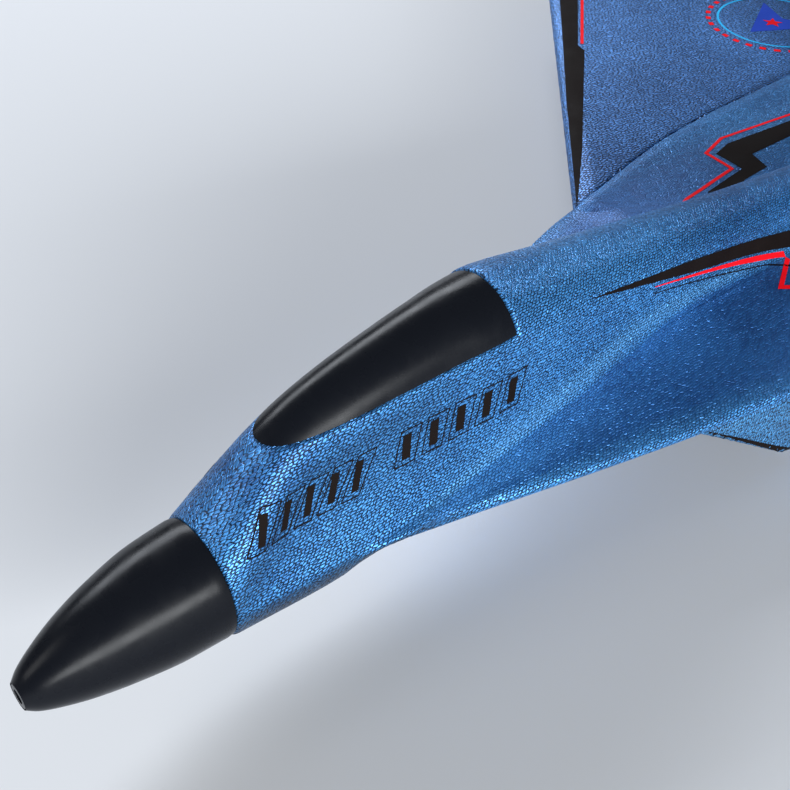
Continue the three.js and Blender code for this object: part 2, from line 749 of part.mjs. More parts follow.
// Battery, board, switch and leads
function battery() {
  const [w, l, h] = batterySize;
  const z = bayFloor + 0.3;
  const ring = (x, round) => [
    [x, bayFront + 1 + round, z], [x, bayFront + 1 + l - round, z],
    [x, bayFront + 1 + l, z + round], [x, bayFront + 1 + l, z + h - round],
    [x, bayFront + 1 + l - round, z + h], [x, bayFront + 1 + round, z + h],
    [x, bayFront + 1, z + h - round], [x, bayFront + 1, z + round],
  ];
  return loft([ring(-w / 2, 1.6), ring(-w / 2 + 0.8, 0.9), ring(w / 2 - 0.8, 0.9), ring(w / 2, 1.6)]);
}

const boardFront = 67;
const boardZ = bayFloor + 0.3;
function board() {
  const [w, l, h] = boardSize;
  const slab = box([-w / 2, boardFront, boardZ], [w / 2, boardFront + l, boardZ + h]);
  const chip = box([-4.5, boardFront + 2, boardZ + h - 0.1], [1.5, boardFront + 8, boardZ + h + 1]);
  const crystal = box([3, boardFront + 3, boardZ + h - 0.1], [5.6, boardFront + 7, boardZ + h + 0.9]);
  const fets = [-3.6, 1.4].map((x) =>
    box([x, boardFront + 12, boardZ + h - 0.1], [x + 2.4, boardFront + 15, boardZ + h + 0.9]));
  const socket = box([-3.2, boardFront - 0.01, boardZ + h - 0.1], [3.2, boardFront + 1.6, boardZ + h + 3]);
  return slab.add(chip).add(crystal).add(fets[0]).add(fets[1]).add(socket);
}

function batteryLead() {
  const rear = bayFront + 1 + batterySize[1];
  const high = bayFloor + 4.2;
  return wire([
    [0, rear + 0.5, high], [1, rear + 3, high + 0.4], [1, rear + 4.8, high],
    [0, boardFront - 0.8, boardZ + boardSize[2] + 1.4],
  ], 0.9);
}

function motorLead(side) {
  const path = leadPath(side);
  const end = [side * (podX - 0.3), mountFront - 0.2, leadHeight + 0.2];
  return wire([[side * 3.2, boardFront + boardSize[1] - 1.5, boardZ + boardSize[2] + 1],
    ...path, end], leadRadius, 6);
}

function switchBody() {
  const [w, l, h] = switchSize;
  const base = bellyLine(switchStation) + 0.4;
  const body = box([-w / 2, switchStation - l / 2, base], [w / 2, switchStation + l / 2, base + h]);
  const slot = box(
    [-sliderSize[0] / 2 - slipGap, switchStation - sliderSize[1] / 2 - slipGap - sliderTravel / 2, base - 1],
    [sliderSize[0] / 2 + slipGap, switchStation + sliderSize[1] / 2 + slipGap + sliderTravel / 2, base + 1.2],
  );
  return body.subtract(slot);
}

function switchSlider() {
  const base = bellyLine(switchStation) + 0.4;
  const back = switchStation - sliderTravel / 2;
  return box([-sliderSize[0] / 2, back - sliderSize[1] / 2, base + 1 - sliderSize[2]],
    [sliderSize[0] / 2, back + sliderSize[1] / 2, base + 1]);
}

const magnet = (front) => rod(magnetRadius, front, front + magnetThickness, 20)
  .translate([0, 0, magnetHeight]);

function sparRod() {
  return rod(sparRadius, -sparReach, sparReach, 16).rotate([0, 0, 90])
    .translate([0, sparStation, sparHeight]);
}

const finish = (color, roughness, metalness = 0) =>
  new THREE.MeshStandardMaterial({ color, roughness, metalness });
const foamBlue = finish(0x3f78c0, 0.42, 0.35);
const glossBlack = finish(0x0b0c0e, 0.22);
const mattBlack = finish(0x17181a, 0.6);
const carbon = finish(0x1d1d1f, 0.4);
const steel = finish(0xb9bcc0, 0.3, 1);
const motorCan = finish(0xc3c6ca, 0.32, 1);
const propBlack = finish(0x141416, 0.35);
const boardGreen = finish(0x1f6a3c, 0.5);
const batteryBlue = finish(0x2a59c8, 0.4);
const leadRed = finish(0xb3202a, 0.5);

const plane = new THREE.Group();
plane.name = "foam_jet";
function add(name, piece, material) {
  const mesh = piece.getMesh();
  const geometry = new THREE.BufferGeometry();
  geometry.setAttribute("position", new THREE.BufferAttribute(mesh.vertProperties, 3));
  geometry.setIndex(new THREE.BufferAttribute(mesh.triVerts, 1));
  geometry.computeVertexNormals();
  const node = new THREE.Mesh(geometry, material);
  node.name = name;
  plane.add(node);
}
function addPair(name, piece, material) {
  add(name + "_left", piece, material);
  add(name + "_right", mirror(piece), material);
}

add("nose_cone", noseCone(), glossBlack);
add("fuselage", fuselage(), foamBlue);
add("belly_pan", bellyPan(), foamBlue);
add("canopy", canopy(), glossBlack);
add("canopy_magnet", magnet(canopyRear - canopyWall - 0.2 - magnetThickness), steel);
add("deck_magnet", magnet(canopyRear + 0.8), steel);
addPair("wing", wing(), foamBlue);
add("wing_spar", sparRod(), carbon);
addPair("fin", fin(), foamBlue);
addPair("tailplane", tailplane(), foamBlue);
addPair("elevator", elevator(), foamBlue);
addPair("motor_mount", motorMount(), mattBlack);
addPair("nozzle", nozzle(), mattBlack);
addPair("motor", motor(), motorCan);
addPair("motor_shaft", motorShaft(), steel);
addPair("propeller", propeller(), propBlack);
add("battery", battery(), batteryBlue);
add("battery_lead", batteryLead(), leadRed);
add("receiver_board", board(), boardGreen);
add("switch_body", switchBody(), mattBlack);
add("switch_slider", switchSlider(), mattBlack);
add("motor_lead_left", motorLead(1), leadRed);
add("motor_lead_right", motorLead(-1), leadRed);

plane.position.set(0, -(elevatorRear - noseLength) / 2, -bellyBottom);
export default plane;
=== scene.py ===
"""Foam radio-control jet: pearl blue moulded foam, gloss black nose and canopy, two pusher propellers."""
import json
import math

import bmesh
import bpy
import numpy as np
from mathutils import Matrix, Vector
from mathutils.bvhtree import BVHTree

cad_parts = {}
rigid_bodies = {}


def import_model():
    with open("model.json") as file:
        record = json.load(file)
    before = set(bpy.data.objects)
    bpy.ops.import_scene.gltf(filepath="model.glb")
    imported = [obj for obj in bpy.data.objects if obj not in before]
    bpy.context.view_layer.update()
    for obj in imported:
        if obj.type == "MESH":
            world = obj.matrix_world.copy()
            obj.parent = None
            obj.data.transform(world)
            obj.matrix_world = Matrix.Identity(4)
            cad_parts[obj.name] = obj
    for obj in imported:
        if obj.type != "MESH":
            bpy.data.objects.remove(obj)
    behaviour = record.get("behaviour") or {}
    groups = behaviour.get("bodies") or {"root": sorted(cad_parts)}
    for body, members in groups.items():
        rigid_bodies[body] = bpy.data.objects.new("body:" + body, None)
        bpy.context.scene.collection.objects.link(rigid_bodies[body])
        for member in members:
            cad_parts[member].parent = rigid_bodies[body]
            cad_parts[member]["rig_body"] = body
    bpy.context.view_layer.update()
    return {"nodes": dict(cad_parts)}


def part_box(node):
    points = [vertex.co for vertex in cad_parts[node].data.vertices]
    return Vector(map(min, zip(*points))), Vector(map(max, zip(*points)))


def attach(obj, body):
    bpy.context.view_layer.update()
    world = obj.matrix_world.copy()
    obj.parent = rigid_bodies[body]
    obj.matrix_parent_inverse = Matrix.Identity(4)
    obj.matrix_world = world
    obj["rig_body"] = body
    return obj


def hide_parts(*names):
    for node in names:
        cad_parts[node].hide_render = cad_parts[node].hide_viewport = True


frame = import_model()
bpy.context.scene.view_settings.view_transform = "Standard"


# ---------------------------------------------------------------- blue foam body
# The body is one moulding of expanded foam: nose section, strakes, spine and centre section.
# It comes out of the mould with a leather-like grain and soft edges, and is sprayed pearl blue.
mm = 0.001
nose_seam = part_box("fuselage")[0].y
belly_depth = 24 * mm


def flowing(pairs):
    """Smooth curve through (station, value) pairs that never overshoots."""
    n = len(pairs)
    step = [pairs[i + 1][0] - pairs[i][0] for i in range(n - 1)]
    slope = [(pairs[i + 1][1] - pairs[i][1]) / step[i] for i in range(n - 1)]
    lean = [slope[0]]
    for i in range(1, n - 1):
        opposed = slope[i - 1] * slope[i] <= 0
        lean.append(0.0 if opposed else 2 / (1 / slope[i - 1] + 1 / slope[i]))
    lean.append(slope[-1])

    def value(y):
        if y <= pairs[0][0]:
            return pairs[0][1]
        if y >= pairs[-1][0]:
            return pairs[-1][1]
        i = next(k for k in range(n - 1) if y <= pairs[k + 1][0])
        t = (y - pairs[i][0]) / step[i]
        a, b = pairs[i][1], pairs[i + 1][1]
        ease = t * (1 - t) * step[i]
        return a + (b - a) * t * t * (3 - 2 * t) + ease * ((1 - t) * lean[i] - t * lean[i + 1])

    return value


def moulded(node, voxel, passes):
    """Copy of a foam piece with the rounded edges that a mould leaves."""
    raw = bpy.data.objects.new(node + "_raw", frame["nodes"][node].data.copy())
    bpy.context.scene.collection.objects.link(raw)
    raw.data.materials.clear()
    skin = raw.modifiers.new("skin", "REMESH")
    skin.mode = "VOXEL"
    skin.voxel_size = voxel
    skin.use_smooth_shade = True
    soften = raw.modifiers.new("soften", "SMOOTH")
    soften.iterations = passes
    soften.factor = 0.5
    settled = raw.evaluated_get(bpy.context.evaluated_depsgraph_get())
    mesh = bpy.data.meshes.new_from_object(settled)
    bpy.data.objects.remove(raw)
    piece = bpy.data.objects.new(node + "_foam", mesh)
    bpy.context.scene.collection.objects.link(piece)
    return piece


def fit(piece, node, material):
    """Puts a finished piece in the place of its CAD node."""
    if material is not None:
        piece.data.materials.clear()
        piece.data.materials.append(material)
    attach(piece, frame["nodes"][node]["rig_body"])
    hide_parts(node)
    return piece


class Recipe:
    """Short way of wiring one material."""

    def __init__(self, name):
        self.material = bpy.data.materials.new(name)
        self.material.use_nodes = True
        self.tree = self.material.node_tree
        self.surface = self.tree.nodes["Principled BSDF"]

    def add(self, kind, inputs=None, **settings):
        node = self.tree.nodes.new("ShaderNode" + kind)
        for key, value in settings.items():
            setattr(node, key, value)
        for key, value in (inputs or {}).items():
            if isinstance(value, bpy.types.NodeSocket):
                self.tree.links.new(value, node.inputs[key])
            else:
                node.inputs[key].default_value = value
        return node

    def place(self, scale=(1, 1, 1), turn=(0, 0, 0)):
        """Coordinates in the piece's own metres, scaled and turned."""
        where = self.add("TexCoord").outputs["Object"]
        turned = self.add("Mapping", {"Vector": where, "Rotation": turn})
        return self.add("Mapping", {"Vector": turned.outputs[0], "Scale": scale}).outputs[0]

    def math(self, operation, a, b=0.0, c=0.0, clamp=False):
        node = self.add("Math", {0: a, 1: b, 2: c}, operation=operation, use_clamp=clamp)
        return node.outputs[0]

    def ramp(self, value, low, high, start=0.0, end=1.0):
        node = self.add("MapRange", {
            "Value": value, "From Min": low, "From Max": high, "To Min": start, "To Max": end,
        }, interpolation_type="SMOOTHSTEP")
        return node.outputs[0]

    def mix(self, share, a, b, blend="MIX"):
        node = self.add("Mix", {"Factor": share, 6: a, 7: b}, data_type="RGBA", blend_type=blend)
        return node.outputs[2]

    def noise(self, where, scale, detail=3.0, rough=0.5):
        return self.add("TexNoise", {
            "Vector": where, "Scale": scale, "Detail": detail, "Roughness": rough,
        }).outputs[0]

    def dents(self, height, strength, distance, below=None):
        inputs = {"Height": height, "Strength": strength, "Distance": distance}
        if below is not None:
            inputs["Normal"] = below
        return self.add("Bump", inputs).outputs[0]

    def set(self, **values):
        names = {"Color": "Base Color", "Coat": "Coat Weight", "CoatRoughness": "Coat Roughness",
                 "Sheen": "Sheen Weight", "Level": "Specular IOR Level"}
        for key, value in values.items():
            socket = self.surface.inputs[names.get(key, key)]
            if isinstance(value, bpy.types.NodeSocket):
                self.tree.links.new(value, socket)
            else:
                socket.default_value = value
        return self.material


def pearl_foam(name, along_grain, across_grain, depth, deep, bright, calm=0.0):
    """Pearl paint on foam with staggered rows of leather grain, painted shade in the grain creases, on
    downward faces and in the strake trough (on the body also on upward faces), and a painted highlight along
    the ridge bead; grain sizes are in metres.
    """
    r = Recipe(name)
    place = r.place()
    apart = r.add("SeparateXYZ", {"Vector": place}).outputs
    around = r.math("SUBTRACT", r.math("ABSOLUTE", apart[0]), apart[2])
    sway = r.add("TexNoise", {"Vector": place, "Scale": 260.0, "Detail": 2.0}).outputs["Color"]
    sway = r.add("SeparateColor", {"Color": sway}).outputs
    rows = r.math("MULTIPLY_ADD", around, 1 / across_grain, r.math("MULTIPLY", sway[0], 1.6))
    steps = r.math("MULTIPLY_ADD", apart[1], 1 / along_grain, r.math("MULTIPLY_ADD", sway[1], 1.2, 0.0))
    steps = r.math("MULTIPLY_ADD", rows, 0.5, steps)
    where = r.add("CombineXYZ", {0: steps, 1: rows}).outputs[0]
    pebble = {"Vector": where, "Scale": 1.0, "Randomness": 0.62}
    rim = r.add("TexVoronoi", pebble, feature="DISTANCE_TO_EDGE", voronoi_dimensions="2D")
    edge = rim.outputs["Distance"]
    heart = r.add("TexVoronoi", pebble, voronoi_dimensions="2D")
    single = r.add("SeparateColor", {"Color": heart.outputs["Color"]}).outputs[0]
    patchy = r.noise(where, 0.8, 1.0)
    crease = r.ramp(edge, 0.0, 0.26)
    dash = r.math("MAXIMUM", r.ramp(edge, 0.03, 0.22), r.ramp(patchy, 0.52, 0.72))
    facing = r.add("SeparateXYZ", {"Vector": r.add("TexCoord").outputs["Normal"]}).outputs[2]
    level = r.ramp(facing, 0.72, 0.97)
    fore = r.ramp(apart[1], nose_seam + 16 * mm, nose_seam + 58 * mm)
    under = r.math("MAXIMUM", r.ramp(facing, -0.35, 0.42, 0.2, 1.0), fore)
    cloud = r.noise(place, 30.0, 3.0)
    fine = r.noise(place, 1900.0, 2.0)
    tone = r.math("MULTIPLY_ADD", single, 0.3, r.math("MULTIPLY", cloud, 0.9))
    colour = r.mix(r.ramp(tone, 0.2, 1.0), (*deep, 1), (*bright, 1))
    # Painted shade: the grain creases (dash) are darkened towards a near-black blue.
    dark = tuple(v * 0.06 for v in deep)
    shown = r.math("MULTIPLY_ADD", level, 0.9 * calm, r.math("MULTIPLY_ADD", dash, 0.96, 0.04), clamp=True)
    # Painted shade in the strake trough, read from the mesh attribute written by hollowed().
    trough_shade_mask = r.add("Attribute", attribute_name="trough_shade_mask").outputs["Fac"]
    shown = r.math("MULTIPLY_ADD", trough_shade_mask, 0.55, shown, clamp=True)
    colour = r.mix(shown, (*dark, 1), colour)
    # Painted shade: darker on faces turned down, except near the nose, and on the body 25% darker on faces
    # turned up.
    facing_shade = r.math("MULTIPLY", under, r.math("MULTIPLY_ADD", level, -0.25 * (calm > 0), 1.0))
    # The painted trough shade darkens red and green more than blue.
    tint = [r.math("MULTIPLY", facing_shade, r.math("MULTIPLY_ADD", trough_shade_mask, -share, 1.0))
            for share in (0.52, 0.46, 0.33)]
    colour = r.mix(1.0, colour, r.add("CombineXYZ", dict(enumerate(tint))).outputs[0], "MULTIPLY")
    # Painted highlight along the ridge bead, mixing the colour towards bright blue.
    ridge_highlight = r.add("Attribute", attribute_name="ridge_highlight").outputs["Fac"]
    ridge_highlight = r.math("MULTIPLY", ridge_highlight, r.math("MULTIPLY_ADD", dash, 0.55, 0.1))
    colour = r.mix(ridge_highlight, colour, (0.16, 0.52, 1, 1))
    lift = r.math("MULTIPLY_ADD", single, 0.18, crease)
    lift = r.math("MULTIPLY_ADD", fine, 0.12, lift)
    lift = r.math("MULTIPLY", lift, r.math("MULTIPLY_ADD", level, -calm, 1.0))
    lift = r.math("MULTIPLY", lift, r.math("MULTIPLY_ADD", trough_shade_mask, -0.35, 1.0))
    normal = r.dents(lift, 1.0, depth)
    rough = r.ramp(fine, 0.2, 0.8, 0.34, 0.48)
    return r.set(Color=colour, Metallic=0.5, Roughness=rough, Normal=normal, Coat=0.08,
                 CoatRoughness=0.3)


body_foam = pearl_foam("pearl_foam_body", 0.98 * mm, 0.68 * mm, 0.27 * mm,
                       (0.03, 0.15, 0.44), (0.10, 0.44, 1.0), 0.35)
# Ridge line (sideways and upwards) and strake edge, in millimetres, along the stations from the nose joint.
ridge_x = flowing([(30, 15.4), (43, 14.6), (65, 13.3), (88, 12.1), (100, 11), (117, 10), (142, 9.7),
                   (170, 9.6)])
ridge_z = flowing([(30, 0.6), (47, 2.4), (70, 4.6), (82, 6.2), (94, 8), (117, 9.4), (130, 8.4), (145, 6.8),
                   (165, 5.6), (190, 5)])
edge_x = flowing([(30, 15.6), (45, 17.5), (60, 20.4), (75, 23.6), (90, 27.4), (105, 31.8), (120, 36.2),
                  (140, 42)])
strake_start, strake_end = 30, 185


def hollowed(piece):
    """Raises the ridge bead and sweeps the strake up to it; marks a painted highlight along the bead and
    painted shade in the strake trough.
    """
    mesh = piece.data
    trough_shade_mark = mesh.attributes.new("trough_shade_mask", "FLOAT", "POINT")
    ridge_highlight = mesh.attributes.new("ridge_highlight", "FLOAT", "POINT")
    facing = [v.normal.z for v in mesh.vertices]
    for vert in mesh.vertices:
        y = (vert.co.y - nose_seam) / mm
        reach = abs(vert.co.x) / mm
        span = edge_x(y) - ridge_x(y)
        if not strake_start < y < strake_end or facing[vert.index] < -0.1 or span < 1.5:
            continue
        ends = min(1, (y - strake_start) / 14) * min(1, (strake_end - y) / 45)
        height = (vert.co.z - belly_depth) / mm
        under = ridge_z(y) - height
        bead = math.exp(-((reach - ridge_x(y)) / 0.6) ** 2 - (max(0, under) / 0.8) ** 2) * ends
        # Painted highlight strength along the ridge bead.
        ridge_highlight.data[vert.index].value = bead
        t = (reach - ridge_x(y) - 0.3) / (span - 0.3)
        if (0 < t or (reach > ridge_x(y) - 0.8 and under > 1)) and t < 1:
            rise = min(1, max(t / 0.09, (under - 0.4) / 1.2))
            fall = min(1, (1 - t) / 0.26)
            share = rise * rise * (3 - 2 * rise) * fall * fall * (3 - 2 * fall) * ends
            # Painted shade strength in the trough, growing towards the back.
            trough_shade_mark.data[vert.index].value = share * (0.45 + 0.55 * min(1, max(0, (y - 45) / 60)))
            swept = ridge_z(y) * (1 - max(t, 0)) ** 1.25
            vert.co.z += 0.6 * mm * max(0.0, swept - height) * ends * min(1, max(t, 0) / 0.05)
        vert.co.z += 0.5 * mm * bead
    return piece


body = fit(hollowed(moulded("fuselage", 0.5 * mm, 3)), "fuselage", body_foam)

# ---------------------------------------------------------------- belly moulding
# Second foam moulding with the two square nacelles and their intakes, in the same pearl blue.
# It is glued under the body and is what the jet rests on.
belly_foam = pearl_foam("pearl_foam_belly", 0.7 * mm, 1.1 * mm, 0.18 * mm,
                        (0.03, 0.13, 0.34), (0.09, 0.36, 0.74))
pan = fit(moulded("belly_pan", 0.6 * mm, 3), "belly_pan", belly_foam)

# ---------------------------------------------------------------- wings, fins and tail
# Flat foam panels with the same grain and paint, thicker at the root, glued to the edge of the body.
# The trim flaps behind the tailplanes are the same panel, bent along a crease.
wing_foam = pearl_foam("pearl_foam_wing", 1.15 * mm, 0.8 * mm, 0.5 * mm,
                       (0.045, 0.16, 0.44), (0.115, 0.35, 0.86))
for side in ("left", "right"):
    fit(moulded("wing_" + side, 0.6 * mm, 4), "wing_" + side, wing_foam)
    for part in ("fin_", "tailplane_", "elevator_"):
        fit(moulded(part + side, 0.55 * mm, 3), part + side, wing_foam)

# ---------------------------------------------------------------- nose cone and canopy
# Two thin moulded shells in gloss black plastic. The nose plugs into the front of the body;
# the canopy sits in its recess over the battery bay and lifts off.


def shell(name, points, faces, sharp=40):
    """Mesh object from points in millimetres measured from the nose joint."""
    mesh = bpy.data.meshes.new(name)
    placed = [(x * mm, y * mm + nose_seam, z * mm + belly_depth) for x, y, z in points]
    mesh.from_pydata(placed, [], faces)
    mesh.update()
    mesh.polygons.foreach_set("use_smooth", [True] * len(mesh.polygons))
    mesh.set_sharp_from_angle(angle=math.radians(sharp))
    piece = bpy.data.objects.new(name, mesh)
    bpy.context.scene.collection.objects.link(piece)
    return piece


def ring_faces(rings, count):
    return [
        (r * count + i, r * count + (i + 1) % count, (r + 1) * count + (i + 1) % count, (r + 1) * count + i)
        for r in range(rings - 1) for i in range(count)
    ]


def gloss_black(name):
    r = Recipe(name)
    where = r.place()
    peel = r.noise(where, 900.0, 2.0)
    waves = r.noise(where, 70.0, 2.0)
    rough = r.ramp(r.noise(where, 260.0, 4.0), 0.3, 0.75, 0.24, 0.33)
    height = r.math("MULTIPLY_ADD", peel, 0.12, waves)
    normal = r.dents(height, 0.25, 0.05 * mm)
    return r.set(Color=(0.006, 0.007, 0.010, 1), IOR=1.36, Roughness=rough, Normal=normal, Coat=0.03,
                 CoatRoughness=0.2, Level=0.2)


black_shell = gloss_black("gloss_black_shell")
nose_length, nose_droop = 36, 2.8
nose_half_width, nose_half_height = 11.4, 12.2
tip_hole, nose_wall = 1.4, 1.4
fullness = flowing([(0, 1), (0.25, 0.953), (0.5, 0.82), (0.7, 0.66), (0.85, 0.49), (0.95, 0.34), (1, 0.22)])


def nose_ring(t, inset, count):
    a = max(nose_half_width * fullness(t) - inset, 0.5)
    b = max(nose_half_height * fullness(t) - inset, 0.5)
    y = -0.3 - t * (nose_length - 0.3)
    drop = -nose_droop * t * t
    turn = [2 * math.pi * k / count for k in range(count)]
    return [(a * math.sin(u), y, drop + b * math.cos(u)) for u in turn]


count = 96
steps = [math.sin(math.pi / 2 * i / 56) for i in range(57)]
rings = [nose_ring(0, nose_wall, count)]
rings += [[(x * 0.985, y + 0.12, z * 0.985) for x, y, z in nose_ring(0, 0, count)]]
rings += [nose_ring(t, 0, count) for t in steps[1:-1]]
tip = nose_ring(1, 0, count)
drop = -nose_droop
for shrink, forward in ((0.99, -0.35), (0.9, -0.06), (tip_hole / 2.6, -0.02), (tip_hole / 2.75, -2.2)):
    rings.append([(x * shrink, y - forward, drop + (z - drop) * shrink) for x, y, z in tip])
rings += [nose_ring(t, nose_wall, count) for t in (0.9, 0.7, 0.45, 0.2)]
faces = ring_faces(len(rings), count)
last = (len(rings) - 1) * count
faces += [(last + i, last + (i + 1) % count, (i + 1) % count, i) for i in range(count)]
points = [p for ring in rings for p in ring]
fit(shell("nose_shell", points, faces), "nose_cone", black_shell)

dome_top = flowing([(0, 12.2), (6, 17.4), (14.5, 24.8), (22, 28.7), (28, 30.4), (34, 31.7), (42, 33),
                    (50, 34), (58, 34.6), (64.8, 34.5), (80, 32.2)])
dome_centre = flowing([(0, 0), (8, 7), (18, 16), (30, 18), (38.8, 19.5), (51.5, 21), (64.8, 22), (80, 20.6)])
dome_half_width = flowing([(0, 11.4), (6, 10.4), (18, 7.7), (30, 8.6), (38.8, 9.1), (51.5, 10), (64.8, 11.2),
                           (80, 10.6)])
canopy_rear = 64.8


def sill(y):
    return 24.1 + 0.3 + 3.0 * (y - 12) / (canopy_rear - 12)


front = next(y for y in np.arange(12, 20, 0.01) if dome_top(y) > sill(y) + 0.02)
across = 48
rows = []
for i in range(73):
    t = i / 72
    y = front + (canopy_rear - front) * t ** 1.8
    zc, b, a = dome_centre(y), dome_top(y) - dome_centre(y), dome_half_width(y)
    reach = math.acos(min(1, (sill(y) - zc) / b))
    rows.append([
        (a * math.sin(reach * (2 * j / across - 1)), y, zc + b * math.cos(reach * (2 * j / across - 1)))
        for j in range(across + 1)
    ])
low = sill(canopy_rear)
for t in (0.25, 0.5, 0.75, 1):
    rows.append([
        (x, y, z + (low - z) * t) for x, y, z in rows[72]
    ])
wide = across + 1
faces = [
    (r * wide + j, r * wide + j + 1, (r + 1) * wide + j + 1, (r + 1) * wide + j)
    for r in range(len(rows) - 1) for j in range(across)
]
canopy = shell("canopy_shell", [p for row in rows for p in row], faces, 60)
bm = bmesh.new()
bm.from_mesh(canopy.data)
bmesh.ops.remove_doubles(bm, verts=bm.verts, dist=0.02 * mm)
bmesh.ops.recalc_face_normals(bm, faces=bm.faces)
if sum(f.normal.z for f in bm.faces) < 0:
    bmesh.ops.reverse_faces(bm, faces=bm.faces)
bm.to_mesh(canopy.data)
bm.free()
wall = canopy.modifiers.new("wall", "SOLIDIFY")
wall.thickness = 1.1 * mm
wall.offset = -1
wall.use_even_offset = True
settled = canopy.evaluated_get(bpy.context.evaluated_depsgraph_get())
mesh = bpy.data.meshes.new_from_object(settled)
canopy.modifiers.clear()
canopy.data = mesh
mesh.set_sharp_from_angle(angle=math.radians(50))
fit(canopy, "canopy", black_shell)

# ---------------------------------------------------------------- printed films
# Thin self-adhesive films, cut to shape and pressed onto the foam, so they follow its surface.
# Outlines are in millimetres from the nose joint, for the left side; the right side mirrors them.
film_lift = 0.07


def stroke(path, widths):
    """Outline of a line of the given width or widths, with mitred corners."""
    n = len(path)
    if not isinstance(widths, (list, tuple)):
        widths = [widths] * n
    sides = ([], [])
    for i in range(n):
        here = Vector(path[i])
        before = (here - Vector(path[max(i - 1, 0)])).normalized() if i else None
        after = (Vector(path[min(i + 1, n - 1)]) - here).normalized() if i < n - 1 else None
        way = ((before or after) + (after or before)).normalized()
        normal = Vector((-way.y, way.x))
        straight = after or before
        stretch = 1 / max(0.35, normal.dot(Vector((-straight.y, straight.x))))
        for k, sign in enumerate((1, -1)):
            sides[k].append(tuple(here + normal * (sign * stretch * widths[i] / 2)))
    return sides[0] + sides[1][::-1]


def beside(path, away):
    """The same line moved sideways."""
    both = stroke(path, 2 * abs(away))
    return both[:len(path)] if away > 0 else both[len(path):][::-1]


def film(name, outlines, material, grounds, view, mirror=False, lift=film_lift):
    """Film laid on the foam: outlines in plan (view "top") or in side view (view "side")."""
    bm = bmesh.new()
    for outline in outlines:
        corners = [bm.verts.new((u, v, 0)) for u, v in outline]
        bm.faces.new(corners)
    bmesh.ops.triangulate(bm, faces=bm.faces[:])
    for axis in (0, 1):
        low = min(v.co[axis] for v in bm.verts)
        high = max(v.co[axis] for v in bm.verts)
        for k in range(1, int((high - low) / 1.1)):
            spot, normal = Vector((0, 0, 0)), Vector((0, 0, 0))
            spot[axis], normal[axis] = low + 1.1 * k, 1
            bmesh.ops.bisect_plane(bm, geom=bm.verts[:] + bm.edges[:] + bm.faces[:], plane_co=spot,
                                   plane_no=normal)
    trees = []
    for ground in grounds:
        trees.append(BVHTree.FromPolygons([v.co for v in ground.data.vertices],
                                          [p.vertices for p in ground.data.polygons]))
    sign = -1 if mirror else 1
    lost = []
    for vert in bm.verts:
        u, v = vert.co.x, vert.co.y
        if view == "top":
            start, way = Vector((sign * u * mm, v * mm + nose_seam, 0.2)), Vector((0, 0, -1))
        else:
            start = Vector((sign * 0.2, u * mm + nose_seam, v * mm + belly_depth))
            way = Vector((-sign, 0, 0))
        hits = [tree.ray_cast(start, way) for tree in trees]
        hits = [h for h in hits if h[0] is not None]
        if not hits:
            lost.append(vert)
            continue
        spot, normal = min(hits, key=lambda h: h[3])[:2]
        vert.co = spot + normal * lift * mm
    bmesh.ops.delete(bm, geom=lost, context="VERTS")
    bmesh.ops.recalc_face_normals(bm, faces=bm.faces)
    mesh = bpy.data.meshes.new(name)
    bm.to_mesh(mesh)
    bm.free()
    mesh.polygons.foreach_set("use_smooth", [True] * len(mesh.polygons))
    mesh.materials.append(material)
    piece = bpy.data.objects.new(name, mesh)
    bpy.context.scene.collection.objects.link(piece)
    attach(piece, "airframe")
    return piece


def film_ink(name, colour, rough):
    r = Recipe(name)
    where = r.place()
    press = r.add("TexVoronoi", {"Vector": where, "Scale": 900.0, "Randomness": 0.7}).outputs["Distance"]
    cloud = r.noise(where, 120.0, 3.0)
    worn = tuple(min(1, v * 1.35 + 0.004) for v in colour)
    tint = r.mix(cloud, (*colour, 1), (*worn, 1))
    normal = r.dents(press, 0.35, 0.05 * mm)
    return r.set(Color=tint, Roughness=r.ramp(cloud, 0.3, 0.7, rough, rough + 0.12), Normal=normal,
                 Level=0.06)


ink_dark = film_ink("film_dark", (0.006, 0.0035, 0.003), 0.66)
ink_red = film_ink("film_red", (0.80, 0.004, 0.01), 0.5)
ink_sky = film_ink("film_sky", (0.03, 0.42, 0.85), 0.4)
ink_blue = film_ink("film_blue", (0.02, 0.06, 0.42), 0.4)

bolt_spike = [(84.9, 25.0), (100.5, 21.9), (117.2, 18.6), (135.6, 14.4), (154.4, 9.6), (158.0, 8.2),
              (158.0, 5.2), (153.4, 6.6), (137.4, 10.7), (121, 14.6), (100.4, 20.7)]
bolt_red_side = [(105.4, 18.1), (121, 13.9), (135.4, 10.2), (150.4, 6.3)]
bolt_dark = [(11.2, 152.4), (19.6, 160.9), (20.8, 175.5), (30, 176.8), (31.4, 183.3), (28, 204.6),
             (22.6, 226), (21.4, 226), (22.9, 197.7), (23.6, 183.2), (17.3, 181.1), (17, 171.8), (11.2, 160)]
bolt_red = [(11.4, 150.6), (16.4, 141.8), (17.6, 144.2), (21, 154.9), (22.5, 173.7), (32, 175.4),
            (34.4, 184.6), (30.2, 207.4), (24.6, 231)]
bolt_red_wide = [1.1, 1.1, 1.1, 1.0, 0.95, 0.95, 0.95, 0.9, 0.3]
stripe_dark = [(38.9, 135.7), (49.3, 145.4), (77.8, 172), (103.5, 196.8), (124.4, 216.9), (147.5, 238.2),
               (147.5, 243.0), (120.7, 221.2), (98.6, 198.2), (95.2, 197.4), (56.6, 155.9)]
stripe_red = [(98.6, 199.9), (119.8, 222.2), (147.3, 245.2)]
emblem = (72, 257.5)


def ring(centre, radius, wide, start=0, end=360, steps=40):
    turn = [math.radians(start + (end - start) * k / steps) for k in range(steps + 1)]

    def arc(reach):
        return [(centre[0] + reach * math.cos(u), centre[1] + reach * math.sin(u)) for u in turn]

    return arc(radius) + arc(radius - wide)[::-1]


